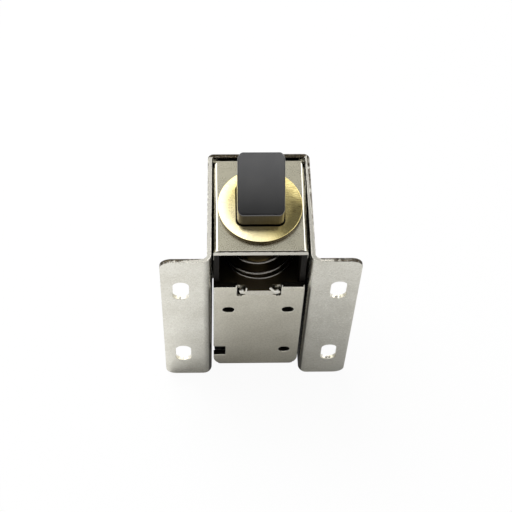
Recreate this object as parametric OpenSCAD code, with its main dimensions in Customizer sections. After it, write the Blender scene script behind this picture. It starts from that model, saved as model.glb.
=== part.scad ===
// Electric cabinet lock: a solenoid pulls a slant-faced spring bolt back into a folded nose frame.
// The lock stands on the rear edge of its bracket with the bolt upwards, and the flanges face -Y.
// Inside the modules, y is the height above the face that the flanges are fastened by.
// The module placed() then moves that height so that the origin lies under the middle of the lock.

/* [Solenoid frame] */
// Width of the coil frame and of the nose frame
body_width = 19.6; // [18.6:0.1:21]
// Length of the coil frame along the bolt
frame_length = 39.15; // [37:0.05:44]
// Height of the coil frame, from its open face to the web
frame_height = 23.8; // [23:0.1:28]
// Thickness of the coil frame's sheet
frame_sheet = 1.4; // [1:0.1:1.6]
// Outer radius of the coil frame's two bends
frame_bend_r = 1.8; // [1.65:0.05:2.2]
// Radius of the coil frame's corners beside its base
frame_corner_r = 4.5; // [3:0.1:6]
// Inset of the coil frame's base from the legs' long edges
base_inset = 1.5; // [1:0.1:2.4]
// Gap between the bracket's rear edge and the coil frame
frame_rear_gap = 0; // [0:0.1:4]
// Depth of the coil frame's open face below the mounting face
frame_recess = 1.8; // [1:0.1:3]
// Height of the bolt's axis above the coil frame's open face
axis_in_frame = 11.4; // [11.2:0.1:12]

/* [Solenoid frame holes] */
// Diameter of the tapped holes
tapped_d = 2.6; // [2.2:0.1:3]
// Distance between the two tapped holes side by side
tapped_pitch_x = 13.1; // [11.5:0.1:13.5]
// Distance between the front and rear tapped holes
tapped_pitch_z = 20; // [17:0.1:21]
// Distance of the front tapped holes from the frame's front edge
tapped_from_front = 10.3; // [9:0.1:12]
// Width of the notch that each end tab of the pole plate lies in
notch_width = 9.5; // [8.8:0.1:10.4]
// Depth of that notch
notch_depth = 3.4; // [2.8:0.1:4.2]
// Radius of the relief holes in the notch's corners
notch_relief_r = 0.6; // [0.4:0.1:0.8]
// Width of the wire outlet at the frame's left edge
outlet_width = 2.7; // [2:0.1:3.4]
// Length of the wire outlet along the bolt
outlet_length = 4.4; // [3:0.1:5]
// Distance of the wire outlet from the frame's rear end
outlet_from_rear = 6.1; // [5.8:0.1:8]

/* [Pole plate] */
// Thickness of the pole plate
plate_thick = 2; // [1.6:0.1:2.2]
// Width of the end tabs in the coil frame's notches
end_tab_width = 5.9; // [5:0.1:6.4]
// Width of the side tabs in the nose frame's slots
side_tab_width = 6; // [4:0.5:8]
// Reach of the staked lips beyond each end tab
stake_reach = 1.3; // [0.8:0.1:1.4]
// Depth of the staked lips below the frame's face
stake_depth = 0.9; // [0.5:0.1:1.2]

/* [Nose frame] */
// Thickness of the nose frame's sheet
nose_sheet = 1.2; // [1:0.1:1.3]
// Outer radius of the nose frame's two bends
nose_bend_r = 1.35; // [1.35:0.05:1.8]
// Length of the side walls below the pole plate
nose_tail = 2.6; // [1.5:0.1:5]
// Gap between the nose frame's back edge and the web
nose_back_gap = 0.7; // [0.5:0.1:1]
// Size of the cut corners of the front plate
nose_chamfer = 1.1; // [0.6:0.1:1.4]

/* [Guide disc] */
// Diameter of the brass guide disc
disc_d = 17.8; // [17.4:0.1:18.2]
// Thickness of the disc on the front plate
disc_thick = 1; // [0.8:0.1:1.5]
// Diameter of the disc's neck in the front plate
disc_neck_d = 15.2; // [14.8:0.1:15.6]
// Diameter of the rolled lip behind the front plate
lip_d = 16.4; // [16:0.1:16.8]
// Thickness of the rolled lip
lip_thick = 0.5; // [0.4:0.05:0.7]

/* [Bolt] */
// Side of the square bolt
bolt_side = 9.75; // [9.2:0.05:10]
// Radius of the bolt's four long edges
bolt_edge_r = 1.2; // [0.8:0.1:1.6]
// Reach of the bolt's tip beyond the guide disc
bolt_reach = 12.6; // [11.2:0.1:14]
// Drop of the slanted face from the tip to its low edge
bolt_slant = 8.8; // [7:0.1:10.5]
// Travel of the bolt between locked and pulled back
stroke = 9.5; // [8:0.1:11]
// Side of the shoulder that stops the bolt in the nose frame
shoulder_side = 12.4; // [12:0.1:13]
// Thickness of the shoulder
shoulder_thick = 1.75; // [1.4:0.05:2.4]
// Diameter of the nylon stop washer on the shoulder
washer_d = 14.4; // [14.2:0.1:15]
// Thickness of the stop washer
washer_thick = 0.75; // [0.6:0.05:1.2]

/* [Plunger] */
// Diameter of the plunger
plunger_d = 8.6; // [8.2:0.1:8.8]
// Diameter of the plunger's spigot in the bolt
spigot_d = 6; // [5:0.1:6.4]
// Length of the spigot
spigot_length = 6.5; // [6:0.1:7]
// Diameter of the pin through bolt and spigot
pin_d = 2; // [1.6:0.1:2.4]
// Distance of the pin from the bolt's rear face
pin_from_rear = 3.6; // [3:0.1:4.2]
// Wall of the brass guide tube round the plunger
tube_wall = 0.4; // [0.3:0.05:0.5]

/* [Coil] */
// Length of the fixed pole in front of the frame's base
pole_length = 4; // [3:0.1:6]
// Thickness of the shim on the fixed pole
shim_thick = 0.2; // [0.1:0.05:0.4]
// Wall of the bobbin's tube
bobbin_wall = 0.75; // [0.6:0.05:1]
// Thickness of the bobbin's flanges
flange_thick = 1.2; // [0.8:0.1:1.6]
// Gap between the bobbin's flanges and the coil frame's open leg
flange_low_gap = 0.3; // [0.1:0.1:0.6]
// Gap between the bobbin's flanges and the coil frame's back leg
flange_high_gap = 1.3; // [0.6:0.1:1.6]
// Gap between the bobbin's flanges and the nose frame's walls
flange_gap = 0.2; // [0.1:0.05:0.4]
// Thickness of the wrapped tape
tape_thick = 0.25; // [0.15:0.05:0.4]
// Diameter of the coil's two terminal pins
terminal_d = 0.7; // [0.5:0.1:0.9]
// Length of the terminal pins above the bobbin's flange
terminal_length = 3; // [2:0.1:3.2]

/* [Return spring] */
// Wire diameter of the spring
spring_wire = 0.6; // [0.45:0.05:0.7]
// Space left for the closed spring when the bolt is pulled back
spring_closed = 1.75; // [1.5:0.05:2.4]
// Number of turns
spring_turns = 6; // [5:0.5:7]
// Turns at each end that lie flat
spring_flat_turns = 0.57; // [0.5:0.01:0.75]
// Turns from the wide end before the spring narrows
spring_wide_turns = 1.4; // [1:0.1:1.8]
// Turns over which the spring narrows
spring_taper_turns = 2.7; // [2:0.1:3]
// Offset of the spring's wide end towards the open face
spring_lean = 0.5; // [0:0.1:0.8]

/* [Bracket] */
// Width over both flanges
bracket_width = 41.9; // [40:0.1:46]
// Thickness of the bracket's sheet
bracket_sheet = 0.9; // [0.8:0.05:1.1]
// Outer radius of the bends beside the web
web_bend_r = 1.2; // [1.15:0.05:1.5]
// Radius at the outside of the bends into the flanges
flange_bend_r = 1.9; // [1.6:0.1:2.2]
// Spread of each wall from the web to the mounting face
wall_flare = 0.35; // [0:0.05:0.6]
// Reach of the bracket in front of the nose frame
front_overhang = 0.2; // [0:0.1:1]
// Radius of the flanges' outer corners
flange_corner_r = 2.5; // [1.5:0.1:3.5]
// Width of the fixing slots
slot_width = 3.5; // [3:0.1:4]
// Length of the fixing slots
slot_length = 7.5; // [5:0.1:9]
// Distance between the left and right slots
slot_pitch_x = 33.5; // [32:0.1:35]
// Distance between the front and rear slots
slot_pitch_z = 30.2; // [26:0.1:32]
// Distance of the rear slots' middle from the rear edge
slot_from_rear = 10.95; // [9:0.05:12]

/* [Screws] */
// Diameter of the screw heads on the web
head_d = 5.4; // [5:0.1:6]
// Height of the screw heads
head_h = 1.1; // [1:0.05:1.6]
// Length of the screws under the head
screw_length = 4; // [3.2:0.1:5]
// Width of the cross recess's arms
recess_width = 0.9; // [0.7:0.1:1.1]
// Length of the cross recess
recess_length = 3; // [2.4:0.1:3.4]
// Depth of the cross recess
recess_depth = 0.7; // [0.5:0.1:0.8]

/* [Fits] */
// Gap between the bracket's walls and the frames inside it
side_gap = 0.15; // [0.1:0.05:0.4]
// Gap between parts that are assembled by hand or staked
seat_gap = 0.05; // [0.02:0.01:0.08]
// Radial gap of the plunger in its tube
plunger_gap = 0.1; // [0.05:0.01:0.1]
// Gap round the bolt in the guide disc
bolt_gap = 0.22; // [0.15:0.01:0.3]
// Gap left at both ends of the bolt's travel
stop_gap = 0.1; // [0.05:0.01:0.15]
// Gap between the spring's widest turn and the nose frame
spring_gap = 0.12; // [0.1:0.01:0.3]
// Radial gap of the screws in the web
screw_gap = 0.4; // [0.2:0.05:0.5]

/* [Hidden] */
$fn = 48;
past = 1;      // how far a cutting shape runs past the faces that it cuts
weld = 0.01;   // how far the flat sheet runs into a bend, so that the two become one

// Positions along the bolt, from the rear edge of the bracket forwards
frame_rear = frame_rear_gap;
base_front = frame_rear + frame_sheet;
frame_front = frame_rear + frame_length;
plate_rear = frame_front - notch_depth;
plate_front = plate_rear + plate_thick;
shoulder_rear = plate_front + spring_closed + stroke;
shoulder_front = shoulder_rear + shoulder_thick;
washer_front = shoulder_front + washer_thick;
lip_rear = washer_front + stop_gap;
nose_inside = lip_rear + lip_thick;
nose_front = nose_inside + nose_sheet;
disc_front = nose_front + disc_thick;
bolt_tip = disc_front + bolt_reach;
bolt_low = bolt_tip - bolt_slant;
bracket_length = nose_front + front_overhang;
nose_rear = plate_rear - nose_tail;
nose_step = frame_front + 4 * seat_gap;
pole_front = base_front + pole_length;
plunger_rear = pole_front + shim_thick + stop_gap + stroke;
pin_z = shoulder_rear + pin_from_rear;
spigot_front = shoulder_rear + spigot_length;
bobbin_rear = base_front + seat_gap;
bobbin_front = plate_rear - seat_gap;
winding_rear = bobbin_rear + flange_thick;
winding_front = bobbin_front - flange_thick;
outlet_rear = frame_rear + outlet_from_rear;
tapped_front = frame_front - tapped_from_front;
tapped_rear = tapped_front - tapped_pitch_z;

// Heights above the mounting face
web_inside = frame_recess + frame_height;
bracket_depth = web_inside + bracket_sheet;
leg_inside = frame_recess + frame_sheet;
back_leg_inside = web_inside - frame_sheet;
axis_h = frame_recess + axis_in_frame;
nose_low = leg_inside + seat_gap;
nose_high = web_inside - nose_back_gap;
flange_low = leg_inside + flange_low_gap;
flange_high = back_leg_inside - flange_high_gap;
mount_y = -(bracket_depth + head_h) / 2;

// Half widths and radii from the middle outwards
body_half = body_width / 2;
nose_inner = body_half - nose_sheet;
web_half = body_half + side_gap + bracket_sheet;
tube_bore_r = plunger_d / 2 + plunger_gap;
tube_r = tube_bore_r + tube_wall;
bobbin_bore_r = tube_r + seat_gap;
bobbin_r = bobbin_bore_r + bobbin_wall;
flange_half = nose_inner - flange_gap;
tape_r = flange_half;
winding_r = tape_r - tape_thick;
tapped_x = tapped_pitch_x / 2;
rivet_r = plunger_d / 4;
rivet_head_r = rivet_r + 0.6;
rivet_head_h = frame_sheet / 3;
spring_wire_r = spring_wire / 2;
spring_wide_r = nose_inner - spring_gap - spring_wire_r;
spring_small_r = plunger_d / 2 + spring_gap + spring_wire_r + 0.25;
terminal_x = flange_half - 1.1;
terminal_h = flange_low + 1.9;
flange_r = 3;
edge_break = 0.4;

// The bent section of the bracket
flange_inner_r = flange_bend_r - bracket_sheet;
splay = atan(wall_flare / bracket_depth);
web_bend_x = web_half - web_bend_r;
wall_start = [web_bend_x + web_bend_r * cos(splay), bracket_depth - web_bend_r + web_bend_r * sin(splay)];
wall_drop = wall_start[1] - flange_bend_r;
flange_bend_x = wall_start[0] + (flange_inner_r + wall_drop * sin(splay)) / cos(splay);
wall_length = (flange_bend_x - wall_start[0]) * sin(splay) + wall_drop * cos(splay);

module placed() {
    translate([0, mount_y, 0]) children();
}

module both_sides() {
    children();
    mirror([1, 0, 0]) children();
}

// A shape in the x-z plane, carried through from one height to another
module across(low, high) {
    translate([0, high, 0]) rotate([90, 0, 0]) linear_extrude(high - low) children();
}

// A round bar along the y axis, from one height to another
module across_rod(r, low, high) {
    translate([0, low, 0]) rotate([-90, 0, 0]) cylinder(r = r, h = high - low);
}

module on_axis(z) {
    translate([0, axis_h, z]) children();
}

module tube(r_out, r_in, length) {
    difference() {
        cylinder(r = r_out, h = length);
        translate([0, 0, -past]) cylinder(r = r_in, h = length + 2 * past);
    }
}

module rounded_rect(width, height, r) {
    square([width - 2 * r, height], center = true);
    square([width, height - 2 * r], center = true);
    for (x = [-1, 1], y = [-1, 1])
        translate([x * (width / 2 - r), y * (height / 2 - r)]) circle(r);
}

module slot_shape(width, length) {
    square([width, length - width], center = true);
    for (y = [-1, 1]) translate([0, y * (length - width) / 2]) circle(d = width);
}

// The part of a ring between two angles, as the section of a bend
module bend_section(r_in, r_out, from, to) {
    reach = 2 * r_out;
    middle = (from + to) / 2;
    intersection() {
        difference() {
            circle(r_out);
            circle(r_in);
        }
        polygon([[0, 0], reach * [cos(from), sin(from)], reach * [cos(middle), sin(middle)],
            reach * [cos(to), sin(to)]]);
    }
}

// What rounding takes off a square corner that points along +x and +y
module corner_waste(r) {
    difference() {
        square(r + past);
        circle(r);
    }
}

module bracket_section() {
    both_sides() {
        translate([0, web_inside]) square([web_bend_x + weld, bracket_sheet]);
        // The wall and both bends, turned together by the wall's splay
        translate([web_bend_x, bracket_depth - web_bend_r]) rotate(splay) {
            bend_section(web_bend_r - bracket_sheet, web_bend_r, 0, 90 - splay);
            translate([web_bend_r - bracket_sheet, -wall_length]) square([bracket_sheet, wall_length]);
            translate([web_bend_r + flange_inner_r, -wall_length])
                bend_section(flange_inner_r, flange_bend_r, 180, 270 - splay);
        }
        translate([flange_bend_x - weld, 0])
            square([bracket_width / 2 - flange_bend_x + weld, bracket_sheet]);
    }
}

module mounting_bracket() {
    corner_x = bracket_width / 2 - flange_corner_r;
    color([0.80, 0.79, 0.75]) placed() difference() {
        linear_extrude(bracket_length) bracket_section();
        both_sides() {
            for (row = [0, 1])
                translate([slot_pitch_x / 2, 0, slot_from_rear + row * slot_pitch_z])
                    across(-past, bracket_sheet + past) slot_shape(slot_width, slot_length);
            translate([corner_x, 0, bracket_length - flange_corner_r])
                across(-past, bracket_sheet + past) corner_waste(flange_corner_r);
            translate([corner_x, 0, flange_corner_r])
                across(-past, bracket_sheet + past) mirror([0, 1]) corner_waste(flange_corner_r);
        }
        for (place = screw_places())
            translate([place[0], 0, place[1]])
                across_rod(tapped_d / 2 + screw_gap, web_inside - past, bracket_depth + past);
    }
}

// The two screws in the web stand cornerwise in the frame's hole pattern
function screw_places() = [[-tapped_x, tapped_front], [tapped_x, tapped_rear]];

module frame_section() {
    inner_r = frame_bend_r - frame_sheet;
    for (side = [0, 1]) mirror([side, 0]) translate([frame_height / 2 - frame_sheet, frame_bend_r])
        square([frame_sheet, frame_length - frame_bend_r]);
    for (side = [0, 1]) mirror([side, 0])
        translate([frame_height / 2 - frame_bend_r, frame_bend_r])
            bend_section(inner_r, frame_bend_r, 270, 360);
}

module coil_frame() {
    middle_h = frame_recess + frame_height / 2;
    base_half = body_half - base_inset;
    color([0.76, 0.74, 0.69]) placed() difference() {
        union() {
            translate([-body_half, middle_h, frame_rear]) rotate([90, 0, 90])
                linear_extrude(body_width) frame_section();
            translate([-base_half, frame_recess + frame_bend_r, frame_rear])
                cube([2 * base_half, frame_height - 2 * frame_bend_r, frame_sheet]);
        }
        both_sides() {
            // The legs' corners are rounded down to the narrower base
            translate([body_half - frame_corner_r, 0, frame_rear + frame_corner_r])
                across(frame_recess - past, web_inside + past) mirror([0, 1]) intersection() {
                    corner_waste(frame_corner_r);
                    translate([frame_corner_r - base_inset, 0]) square(frame_corner_r + past);
                }
            // Long edges against the web clear the bracket's bends
            translate([body_half, web_inside, frame_rear]) rotate(45)
                translate([-edge_break / 2, -edge_break, -past]) cube([edge_break, 2 * edge_break,
                    frame_length + 2 * past]);
            for (low = [frame_recess - past, back_leg_inside - past])
                translate([notch_width / 2 - notch_relief_r, 0, plate_rear])
                    across_rod(notch_relief_r, low, low + frame_sheet + 2 * past);
        }
        for (low = [frame_recess - past, back_leg_inside - past])
            translate([-notch_width / 2, low, plate_rear])
                cube([notch_width, frame_sheet + 2 * past, notch_depth + past]);
        for (place = [[-tapped_x, tapped_front], [tapped_x, tapped_front], [tapped_x, tapped_rear]])
            translate([place[0], 0, place[1]])
                across_rod(tapped_d / 2, frame_recess - past, leg_inside + past);
        for (place = screw_places())
            translate([place[0], 0, place[1]])
                across_rod(tapped_d / 2, back_leg_inside - past, web_inside + past);
        translate([-body_half - past, frame_recess - past, outlet_rear])
            cube([outlet_width + past, frame_sheet + 2 * past, outlet_length]);
        on_axis(frame_rear - past) cylinder(r = rivet_r + seat_gap, h = frame_sheet + 2 * past);
        on_axis(frame_rear - seat_gap)
            cylinder(r1 = rivet_head_r + 2 * seat_gap, r2 = rivet_r + seat_gap, h = rivet_head_h + seat_gap);
    }
}

// Metal that the staking punch spreads from each end of a tab towards the notch's corners
module stake_lip() {
    rise = plate_thick / 6;
    polygon([[end_tab_width / 2 - rise, plate_thick - rise], [end_tab_width / 2, plate_thick],
        [end_tab_width / 2 + stake_reach, plate_thick / 2 + rise],
        [end_tab_width / 2 + stake_reach - rise, plate_thick / 2 - rise], [end_tab_width / 2, rise]]);
}

module pole_plate() {
    low = leg_inside + seat_gap;
    high = back_leg_inside - seat_gap;
    color([0.55, 0.53, 0.48]) placed() difference() {
        union() {
            translate([-nose_inner + seat_gap, low, plate_rear])
                cube([2 * (nose_inner - seat_gap), high - low, plate_thick]);
            translate([-end_tab_width / 2, frame_recess, plate_rear])
                cube([end_tab_width, frame_height, plate_thick]);
            translate([-body_half, axis_h - side_tab_width / 2, plate_rear])
                cube([body_width, side_tab_width, plate_thick]);
            translate([0, 0, plate_rear]) both_sides() {
                across(frame_recess, frame_recess + stake_depth) stake_lip();
                across(web_inside - stake_depth, web_inside) stake_lip();
            }
        }
        on_axis(plate_rear - past) cylinder(r = tube_r + seat_gap, h = plate_thick + 2 * past);
    }
}

module nose_section() {
    bend_x = body_half - nose_bend_r;
    both_sides() {
        translate([0, nose_inside]) square([bend_x, nose_sheet]);
        translate([bend_x, nose_front - nose_bend_r])
            bend_section(nose_bend_r - nose_sheet, nose_bend_r, 0, 90);
        translate([nose_inner, nose_rear]) square([nose_sheet, nose_front - nose_bend_r - nose_rear]);
    }
}

module nose_frame() {
    slot_height = plate_thick + 2 * seat_gap;
    slot_width_y = side_tab_width + 2 * seat_gap;
    color([0.70, 0.68, 0.62]) placed() difference() {
        across(nose_low, nose_high) nose_section();
        on_axis(nose_inside - past) cylinder(d = disc_neck_d + 2 * seat_gap, h = nose_sheet + 2 * past);
        both_sides() {
            // The walls step in behind the coil frame's back leg
            translate([nose_inner - past, back_leg_inside - seat_gap, nose_rear - past])
                cube([nose_sheet + 2 * past, frame_sheet + past, nose_step - nose_rear + past]);
            translate([nose_inner - past, axis_h - slot_width_y / 2, plate_rear - seat_gap])
                cube([nose_sheet + 2 * past, slot_width_y, slot_height]);
            translate([body_half, nose_high, nose_front - 2 * nose_bend_r]) rotate(45)
                translate([-nose_chamfer / sqrt(2), -2 * nose_chamfer, 0])
                    cube([2 * nose_chamfer, 4 * nose_chamfer, 2 * nose_bend_r + past]);
        }
    }
}

module bolt_hole(gap) {
    rounded_rect(bolt_side + 2 * gap, bolt_side + 2 * gap, bolt_edge_r + gap);
}

module guide_disc() {
    color([0.86, 0.76, 0.45]) placed() difference() {
        union() {
            on_axis(nose_front) cylinder(d = disc_d, h = disc_thick);
            on_axis(nose_inside) cylinder(d = disc_neck_d, h = nose_sheet);
            on_axis(lip_rear) cylinder(d = lip_d, h = lip_thick);
        }
        on_axis(lip_rear - past) linear_extrude(disc_front - lip_rear + 2 * past) bolt_hole(bolt_gap);
    }
}

module fixed_pole() {
    color([0.62, 0.61, 0.58]) placed() {
        on_axis(base_front + seat_gap) cylinder(r = plunger_d / 2, h = pole_length - seat_gap);
        on_axis(frame_rear) cylinder(r = rivet_r, h = frame_sheet + seat_gap);
        on_axis(frame_rear) cylinder(r1 = rivet_head_r, r2 = rivet_r, h = rivet_head_h);
    }
}

module pole_shim() {
    color([0.80, 0.68, 0.38]) placed() on_axis(pole_front) cylinder(r = plunger_d / 2, h = shim_thick);
}

module guide_tube() {
    color([0.78, 0.66, 0.36]) placed() on_axis(bobbin_rear)
        tube(tube_r, tube_bore_r, plate_front - bobbin_rear);
}

module coil_bobbin() {
    color([0.15, 0.15, 0.16]) placed() on_axis(0) difference() {
        union() {
            translate([0, 0, bobbin_rear]) cylinder(r = bobbin_r, h = bobbin_front - bobbin_rear);
            for (z = [bobbin_rear, winding_front])
                translate([0, (flange_low + flange_high) / 2 - axis_h, z]) linear_extrude(flange_thick)
                    rounded_rect(2 * flange_half, flange_high - flange_low, flange_r);
        }
        translate([0, 0, bobbin_rear - past])
            cylinder(r = bobbin_bore_r, h = bobbin_front - bobbin_rear + 2 * past);
        for (side = [0, 1]) translate(terminal_place(side))
            translate([0, 0, -past]) cylinder(d = terminal_d, h = flange_thick + past);
    }
}

// The pins stand side by side on the rear flange, behind the wire outlet
function terminal_place(side) = [-terminal_x + side * 2.4, terminal_h - axis_h, bobbin_rear + flange_thick / 2];

module terminal_pin(side) {
    on_axis(0) translate(terminal_place(side)) {
        cylinder(d = terminal_d, h = flange_thick / 2 + terminal_length);
        translate([0, 0, flange_thick / 2]) cylinder(d = 2 * terminal_d, h = terminal_d / 2);
    }
}

module start_terminal() {
    color([0.75, 0.75, 0.76]) placed() terminal_pin(0);
}

module finish_terminal() {
    color([0.75, 0.75, 0.76]) placed() terminal_pin(1);
}

module coil_winding() {
    color([0.72, 0.42, 0.22]) placed() on_axis(winding_rear)
        tube(winding_r, bobbin_r, winding_front - winding_rear);
}

module coil_tape() {
    color([0.13, 0.13, 0.14]) placed() on_axis(winding_rear)
        tube(tape_r, winding_r, winding_front - winding_rear);
}

// A low pan head with a cross recess over a plain shank, standing on the web along +y
module web_screw(place) {
    head_r = head_d / 2;
    rim = head_h * 0.4;
    flat_r = recess_length / 2 + edge_break / 2;
    crown_z = (head_r * head_r - flat_r * flat_r + rim * rim - head_h * head_h) / (2 * (rim - head_h));
    crown_r = norm([head_r, rim - crown_z]);
    translate([place[0], bracket_depth, place[1]]) rotate([-90, 0, 0]) difference() {
        union() {
            intersection() {
                cylinder(r = head_r, h = head_h);
                translate([0, 0, crown_z]) sphere(r = crown_r);
            }
            translate([0, 0, -screw_length]) cylinder(d = tapped_d - 2 * seat_gap, h = screw_length);
        }
        for (turn = [0, 90]) rotate(turn)
            translate([-recess_length / 2, -recess_width / 2, head_h - recess_depth])
                cube([recess_length, recess_width, recess_depth + past]);
    }
}

module front_screw() {
    color([0.66, 0.66, 0.67]) placed() web_screw(screw_places()[0]);
}

module rear_screw() {
    color([0.66, 0.66, 0.67]) placed() web_screw(screw_places()[1]);
}

module bolt() {
    half = bolt_side / 2;
    color([0.34, 0.34, 0.35]) placed() on_axis(0) difference() {
        union() {
            translate([0, 0, shoulder_rear]) linear_extrude(bolt_tip - shoulder_rear) bolt_hole(0);
            translate([0, 0, shoulder_rear]) linear_extrude(shoulder_thick)
                rounded_rect(shoulder_side, shoulder_side, bolt_edge_r);
        }
        // The slanted face falls from the web side to the mounting side
        rotate([90, 0, 90]) translate([0, 0, -bolt_side]) linear_extrude(2 * bolt_side)
            polygon([[-half, bolt_low], [half, bolt_tip], [half, bolt_tip + past],
                [-half - past, bolt_tip + past], [-half - past, bolt_low - past * bolt_slant / bolt_side]]);
        translate([0, 0, shoulder_rear - past])
            cylinder(r = spigot_d / 2 + seat_gap, h = spigot_length + stop_gap + past);
        translate([-bolt_side, 0, pin_z]) rotate([0, 90, 0])
            cylinder(r = pin_d / 2 + seat_gap, h = 2 * bolt_side);
    }
}

module plunger() {
    color([0.66, 0.64, 0.60]) placed() on_axis(0) difference() {
        union() {
            translate([0, 0, plunger_rear]) cylinder(d1 = plunger_d - 2 * edge_break, d2 = plunger_d,
                h = edge_break);
            translate([0, 0, plunger_rear + edge_break])
                cylinder(d = plunger_d, h = shoulder_rear - plunger_rear - edge_break);
            translate([0, 0, shoulder_rear]) cylinder(d = spigot_d, h = spigot_length);
        }
        translate([-spigot_d, 0, pin_z]) rotate([0, 90, 0])
            cylinder(r = pin_d / 2 + seat_gap, h = 2 * spigot_d);
    }
}

module bolt_pin() {
    length = bolt_side - 4 * seat_gap;
    color([0.60, 0.60, 0.62]) placed() on_axis(pin_z) translate([-length / 2, 0, 0])
        rotate([0, 90, 0]) cylinder(d = pin_d, h = length);
}

module stop_washer() {
    color([0.85, 0.85, 0.82]) placed() on_axis(shoulder_front) difference() {
        cylinder(d = washer_d, h = washer_thick);
        translate([0, 0, -past]) linear_extrude(washer_thick + 2 * past) bolt_hole(2 * seat_gap);
    }
}

// The spring is one wire swept round the plunger, wide on the pole plate and narrow at the bolt
spring_steps = 20;   // rings of points in each turn
spring_sides = 8;    // points round the wire
spring_rings = spring_turns * spring_steps;
spring_low = plate_front + spring_wire_r;
spring_high = shoulder_rear - spring_wire_r;

function share(value, from, length) = min(1, max(0, (value - from) / length));
function spring_z(turn) = spring_low + (spring_high - spring_low)
    * share(turn, spring_flat_turns, spring_turns - 2 * spring_flat_turns);
function spring_taper(turn) = share(turn, spring_wide_turns, spring_taper_turns);
function spring_r(turn) = spring_wide_r + (spring_small_r - spring_wide_r) * spring_taper(turn);
function spring_shift(turn) = -spring_lean * (1 - spring_taper(turn));
function spring_point(ring, side) =
    let (turn = ring / spring_steps, angle = 90 + 360 * turn, round = 360 * side / spring_sides,
        r = spring_r(turn) + spring_wire_r * cos(round))
    [r * cos(angle), r * sin(angle) + spring_shift(turn), spring_z(turn) + spring_wire_r * sin(round)];

module return_spring() {
    points = [for (ring = [0:spring_rings], side = [0:spring_sides - 1]) spring_point(ring, side)];
    skin = [for (ring = [0:spring_rings - 1], side = [0:spring_sides - 1])
        let (next = (side + 1) % spring_sides, here = ring * spring_sides, there = here + spring_sides)
        [here + side, here + next, there + next, there + side]];
    first_end = [for (side = [spring_sides - 1:-1:0]) side];
    last_end = [for (side = [0:spring_sides - 1]) spring_rings * spring_sides + side];
    color([0.72, 0.71, 0.68]) placed() on_axis(0)
        polyhedron(points = points, faces = concat(skin, [first_end], [last_end]), convexity = 10);
}

mounting_bracket();
coil_frame();
pole_plate();
nose_frame();
guide_disc();
fixed_pole();
pole_shim();
guide_tube();
coil_bobbin();
coil_winding();
coil_tape();
start_terminal();
finish_terminal();
front_screw();
rear_screw();
bolt();
plunger();
bolt_pin();
stop_washer();
return_spring();
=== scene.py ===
import math
import bpy
from mathutils import Matrix, Vector


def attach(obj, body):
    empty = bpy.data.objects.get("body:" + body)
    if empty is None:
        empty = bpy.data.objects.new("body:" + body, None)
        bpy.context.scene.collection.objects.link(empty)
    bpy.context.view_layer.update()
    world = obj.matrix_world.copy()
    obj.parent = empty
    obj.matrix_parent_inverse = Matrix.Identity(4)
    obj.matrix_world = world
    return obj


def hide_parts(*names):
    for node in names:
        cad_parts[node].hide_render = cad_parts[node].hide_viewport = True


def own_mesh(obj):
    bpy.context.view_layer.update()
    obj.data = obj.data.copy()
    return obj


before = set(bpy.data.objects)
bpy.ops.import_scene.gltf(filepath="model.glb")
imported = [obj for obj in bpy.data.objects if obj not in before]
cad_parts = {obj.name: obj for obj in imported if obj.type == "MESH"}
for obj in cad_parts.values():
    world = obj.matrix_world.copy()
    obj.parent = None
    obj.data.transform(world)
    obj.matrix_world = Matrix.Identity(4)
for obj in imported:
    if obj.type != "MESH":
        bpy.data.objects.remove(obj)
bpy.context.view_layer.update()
mm = 0.001
smoothTurn = math.radians(46)   # faces that meet at less than this are shaded as one
near = 0.1 * mm                 # how close a point is to a face to count as on it


# The camera is taken from the straight edges of the lock in the picture
cameraSet = {
    "place": (-0.01069, -0.15186, 0.29946),
    "right": (0.9994, -0.0224, 0.0262),
    "up": (0.0065, 0.8697, 0.4936),
    "lens": 97.2,
    "sensor": 36,
    "nearest": 0.01,
    "farthest": 20,
}


def addCamera():
    data = bpy.data.cameras.new("pictureCamera")
    data.lens = cameraSet["lens"]
    data.sensor_width = cameraSet["sensor"]
    data.clip_start = cameraSet["nearest"]
    data.clip_end = cameraSet["farthest"]
    camera = bpy.data.objects.new("pictureCamera", data)
    bpy.context.scene.collection.objects.link(camera)
    right = Vector(cameraSet["right"]).normalized()
    up = Vector(cameraSet["up"])
    up = (up - right * up.dot(right)).normalized()
    back = right.cross(up)
    turn = Matrix((right, up, back)).transposed().to_4x4()
    camera.matrix_world = Matrix.Translation(cameraSet["place"]) @ turn
    bpy.context.scene.camera = camera


addCamera()
print("camera placed")


# Shader maths written as plain expressions
class Wire:
    def __init__(self, socket):
        self.socket = socket

    def maths(self, operation, other=None, swap=False):
        tree = self.socket.id_data
        node = tree.nodes.new("ShaderNodeMath")
        node.operation = operation
        values = [other, self] if swap else [self, other]
        for entry, value in zip(node.inputs, values):
            if isinstance(value, Wire):
                tree.links.new(value.socket, entry)
            elif value is not None:
                entry.default_value = value
        return Wire(node.outputs[0])

    def __add__(self, other):
        return self.maths("ADD", other)

    def __sub__(self, other):
        return self.maths("SUBTRACT", other)

    def __mul__(self, other):
        return self.maths("MULTIPLY", other)

    def __truediv__(self, other):
        return self.maths("DIVIDE", other)

    def __rsub__(self, other):
        return self.maths("SUBTRACT", other, swap=True)

    def __rtruediv__(self, other):
        return self.maths("DIVIDE", other, swap=True)

    __radd__ = __add__
    __rmul__ = __mul__

    def above(self, other):
        return self.maths("MAXIMUM", other)

    def size(self):
        return self.maths("ABSOLUTE")

    def power(self, other):
        return self.maths("POWER", other)


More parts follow.
